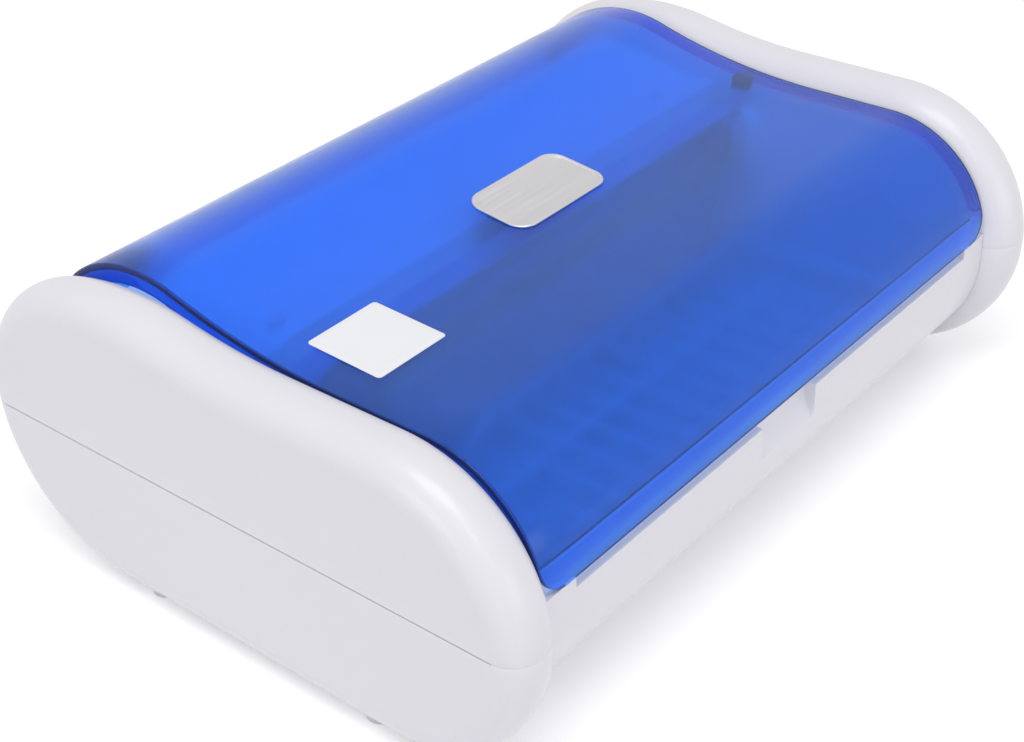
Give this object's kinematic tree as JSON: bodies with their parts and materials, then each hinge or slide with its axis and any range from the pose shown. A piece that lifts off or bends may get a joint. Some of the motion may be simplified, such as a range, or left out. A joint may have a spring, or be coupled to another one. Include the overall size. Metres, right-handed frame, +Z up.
{
  "type": "ultraviolet sterilizer case",
  "caption": "Long table-top ultraviolet sterilizer case: white base between two rounded end caps, blue see-through lid hinged at the back, lamp, wire tray and mains parts inside.",
  "frame": {"origin": "middle of the footprint, on the surface that the four feet stand on", "axes": "+X along the case to the right end cap, +Y to the back where the lid is hinged, +Z up"},
  "size_m": [0.357, 0.271, 0.1356],
  "materials": {
    "white_shell": "satin moulded white plastic",
    "white_inside": "satin moulded white plastic",
    "grey_panel": "fine matte texture",
    "lid_blue": "polished see-through blue plastic",
    "badge_silver": "satin",
    "label_white": "coated paper",
    "magnet_dark": "dull",
    "rubber_white": "matte",
    "screw_white": "painted heads",
    "steel": "zinc plated",
    "lamp_glass": "clear quartz glass",
    "lamp_metal": "bright",
    "holder_white": "moulded",
    "reflector_metal": "polished sheet",
    "black_plastic": "fine texture",
    "ballast_metal": "varnished steel plates",
    "starter_can": "plain",
    "terminal_ivory": "moulded",
    "fuse_glass": "clear",
    "pin_brass": "bright",
    "tray_white": "white coated wire"
  },
  "bodies": {
    "case": {"base_shell": "white_shell", "inner_tub": "white_inside", "rear_cover": "white_inside", "bottom_panel": "grey_panel", "left_cap_upper": "white_shell", "left_cap_lower": "white_shell", "right_cap_upper": "white_shell", "right_cap_lower": "white_shell", "lid_rests": "white_shell", "hinge_pin_left": "steel", "hinge_pin_right": "steel", "uv_tube": "lamp_glass", "uv_tube_ends": "lamp_metal", "lamp_holder_left": "holder_white", "lamp_holder_right": "holder_white", "reflector": "reflector_metal", "reed_switch": "black_plastic", "ballast": "ballast_metal", "starter": "starter_can", "starter_socket": "holder_white", "terminal_block": "terminal_ivory", "fuse_holder": "black_plastic", "fuse": "fuse_glass", "power_inlet": "black_plastic", "inlet_pins": "pin_brass", "switch_body": "black_plastic", "feet": "rubber_white", "cap_screws": "steel", "end_screws": "steel", "cover_screws": "screw_white", "panel_screws": "steel"},
    "lid": {"lid": "lid_blue", "badge_plate": "badge_silver", "notice_label": "label_white", "lid_magnet": "magnet_dark"},
    "tray": {"wire_tray": "tray_white"},
    "rocker": {"switch_rocker": "black_plastic"}
  },
  "joints": [
    {"name": "lid_hinge", "type": "hinge", "parent": "case", "child": "lid", "pos_m": [0, 0.1108, 0.09], "axis": [-1, 0, 0], "range_deg": [0, 80]},
    {"name": "tray_lift", "type": "slide", "parent": "case", "child": "tray", "axis": [0, 0, 1], "range_m": [0, 0.025]},
    {"name": "switch_tilt", "type": "hinge", "parent": "case", "child": "rocker", "pos_m": [0.016, 0.1153, 0.053], "axis": [0, 0, -1], "range_deg": [0, 18]}
  ]
}
